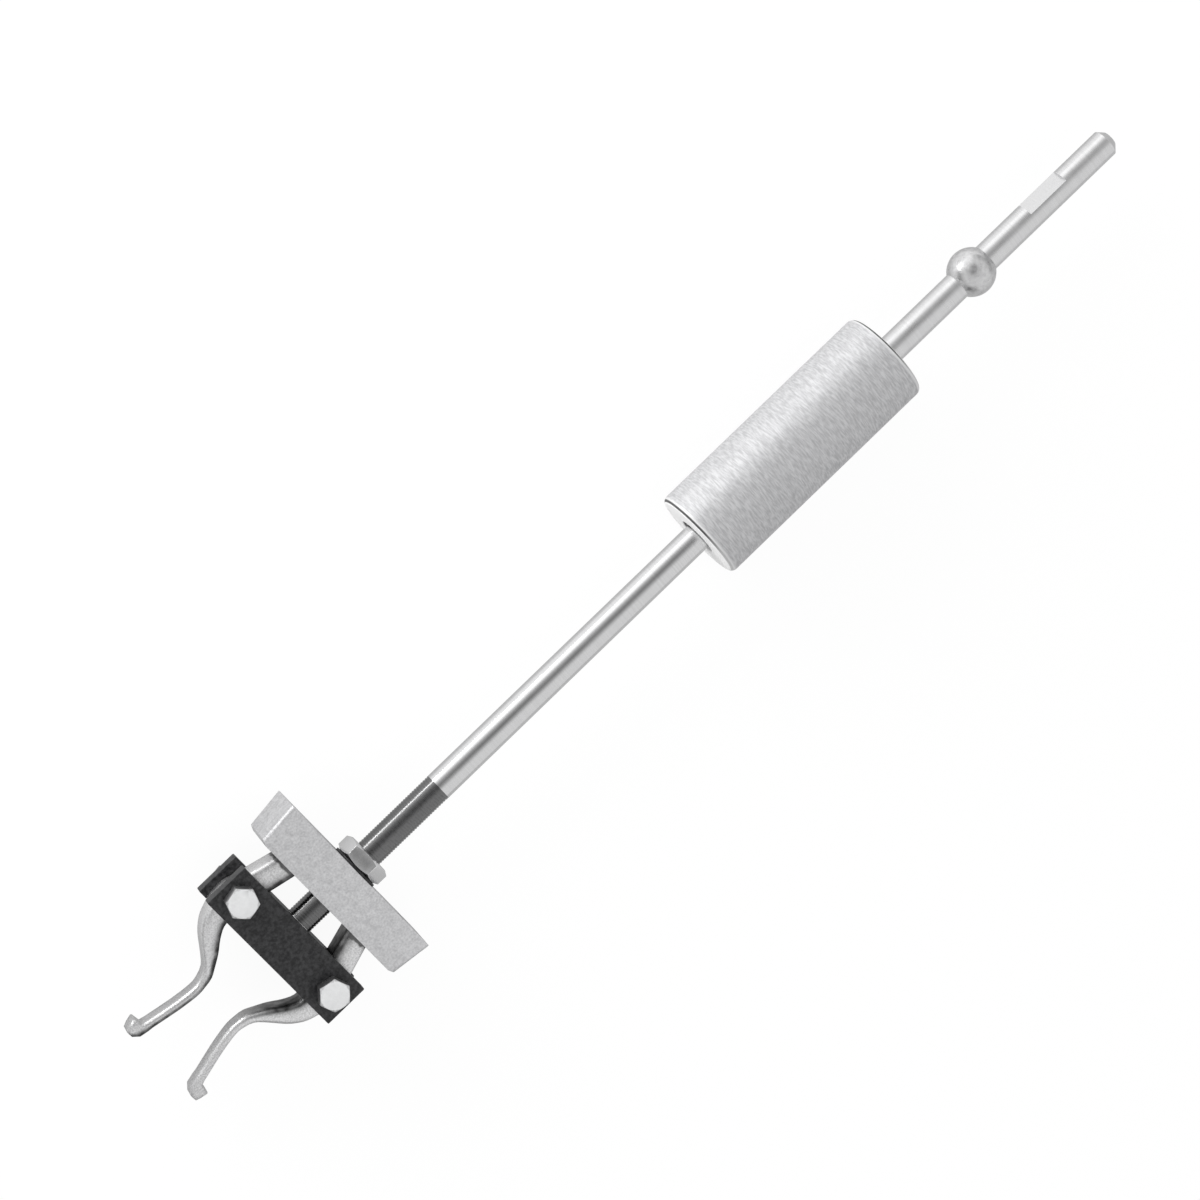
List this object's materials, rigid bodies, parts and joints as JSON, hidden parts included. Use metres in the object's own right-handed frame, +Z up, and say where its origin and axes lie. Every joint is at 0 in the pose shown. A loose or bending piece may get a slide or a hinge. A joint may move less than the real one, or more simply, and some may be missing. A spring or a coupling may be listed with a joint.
{
  "type": "bearing puller",
  "caption": "Slide hammer puller for pilot bearings: hooked jaws pivot in a yoke, a nut drives a spreader bar along the rod to wedge them apart, and a sliding weight strikes a ball stop.",
  "frame": {"origin": "centre of the box round the tool, on the surface it lies on", "axes": "+X along the rod towards its free end, +Y across the rod towards the left jaw, +Z up from the surface, the way the pivot bolts' heads face"},
  "size_m": [0.5638, 0.0868, 0.0427],
  "materials": {
    "polished_rod": "polished plated steel",
    "turned_steel": "satin turned and plated steel",
    "zinc_steel": "zinc plated steel",
    "black_steel": "black oxide",
    "blasted_casting": "fine blasted plated casting",
    "bright_forging": "bright plated forging"
  },
  "bodies": {
    "frame": {"draw_rod": "polished_rod", "stop_ball": "polished_rod", "yoke": "black_steel", "pivot_bolt_left": "zinc_steel", "pivot_bolt_right": "zinc_steel", "lock_washer_left": "zinc_steel", "lock_washer_right": "zinc_steel", "pivot_nut_left": "zinc_steel", "pivot_nut_right": "zinc_steel"},
    "hammer": {"slide_hammer": "turned_steel"},
    "spreader": {"spreader_bar": "blasted_casting", "thrust_washer": "black_steel"},
    "nut": {"adjusting_nut": "zinc_steel"},
    "left_jaw": {"jaw_left": "bright_forging"},
    "right_jaw": {"jaw_right": "bright_forging"}
  },
  "joints": [
    {"name": "hammer_slide", "type": "slide", "parent": "frame", "child": "hammer", "axis": [1, 0, 0], "range_m": [-0.1808, 0.0451]},
    {"name": "spreader_slide", "type": "slide", "parent": "frame", "child": "spreader", "axis": [1, 0, 0], "range_m": [-0.008, 0.01]},
    {"name": "nut_spin", "type": "hinge", "parent": "spreader", "child": "nut", "pos_m": [-0.16259, 0, 0.02135], "axis": [1, 0, 0], "range_deg": [-2268, 2835]},
    {"name": "left_jaw_pivot", "type": "hinge", "parent": "frame", "child": "left_jaw", "pos_m": [-0.20974, 0.0287, 0.02135], "axis": [0, 0, 1], "range_deg": [-4.5, 5.6]},
    {"name": "right_jaw_pivot", "type": "hinge", "parent": "frame", "child": "right_jaw", "pos_m": [-0.20974, -0.0287, 0.02135], "axis": [0, 0, 1], "range_deg": [-5.6, 4.5]}
  ],
  "couplings": [
    {"joint": "nut_spin", "follows": "spreader_slide", "rad_per_m": 4947.4},
    {"joint": "left_jaw_pivot", "follows": "spreader_slide", "rad_per_m": 9.5993},
    {"joint": "right_jaw_pivot", "follows": "spreader_slide", "rad_per_m": -9.5993}
  ]
}
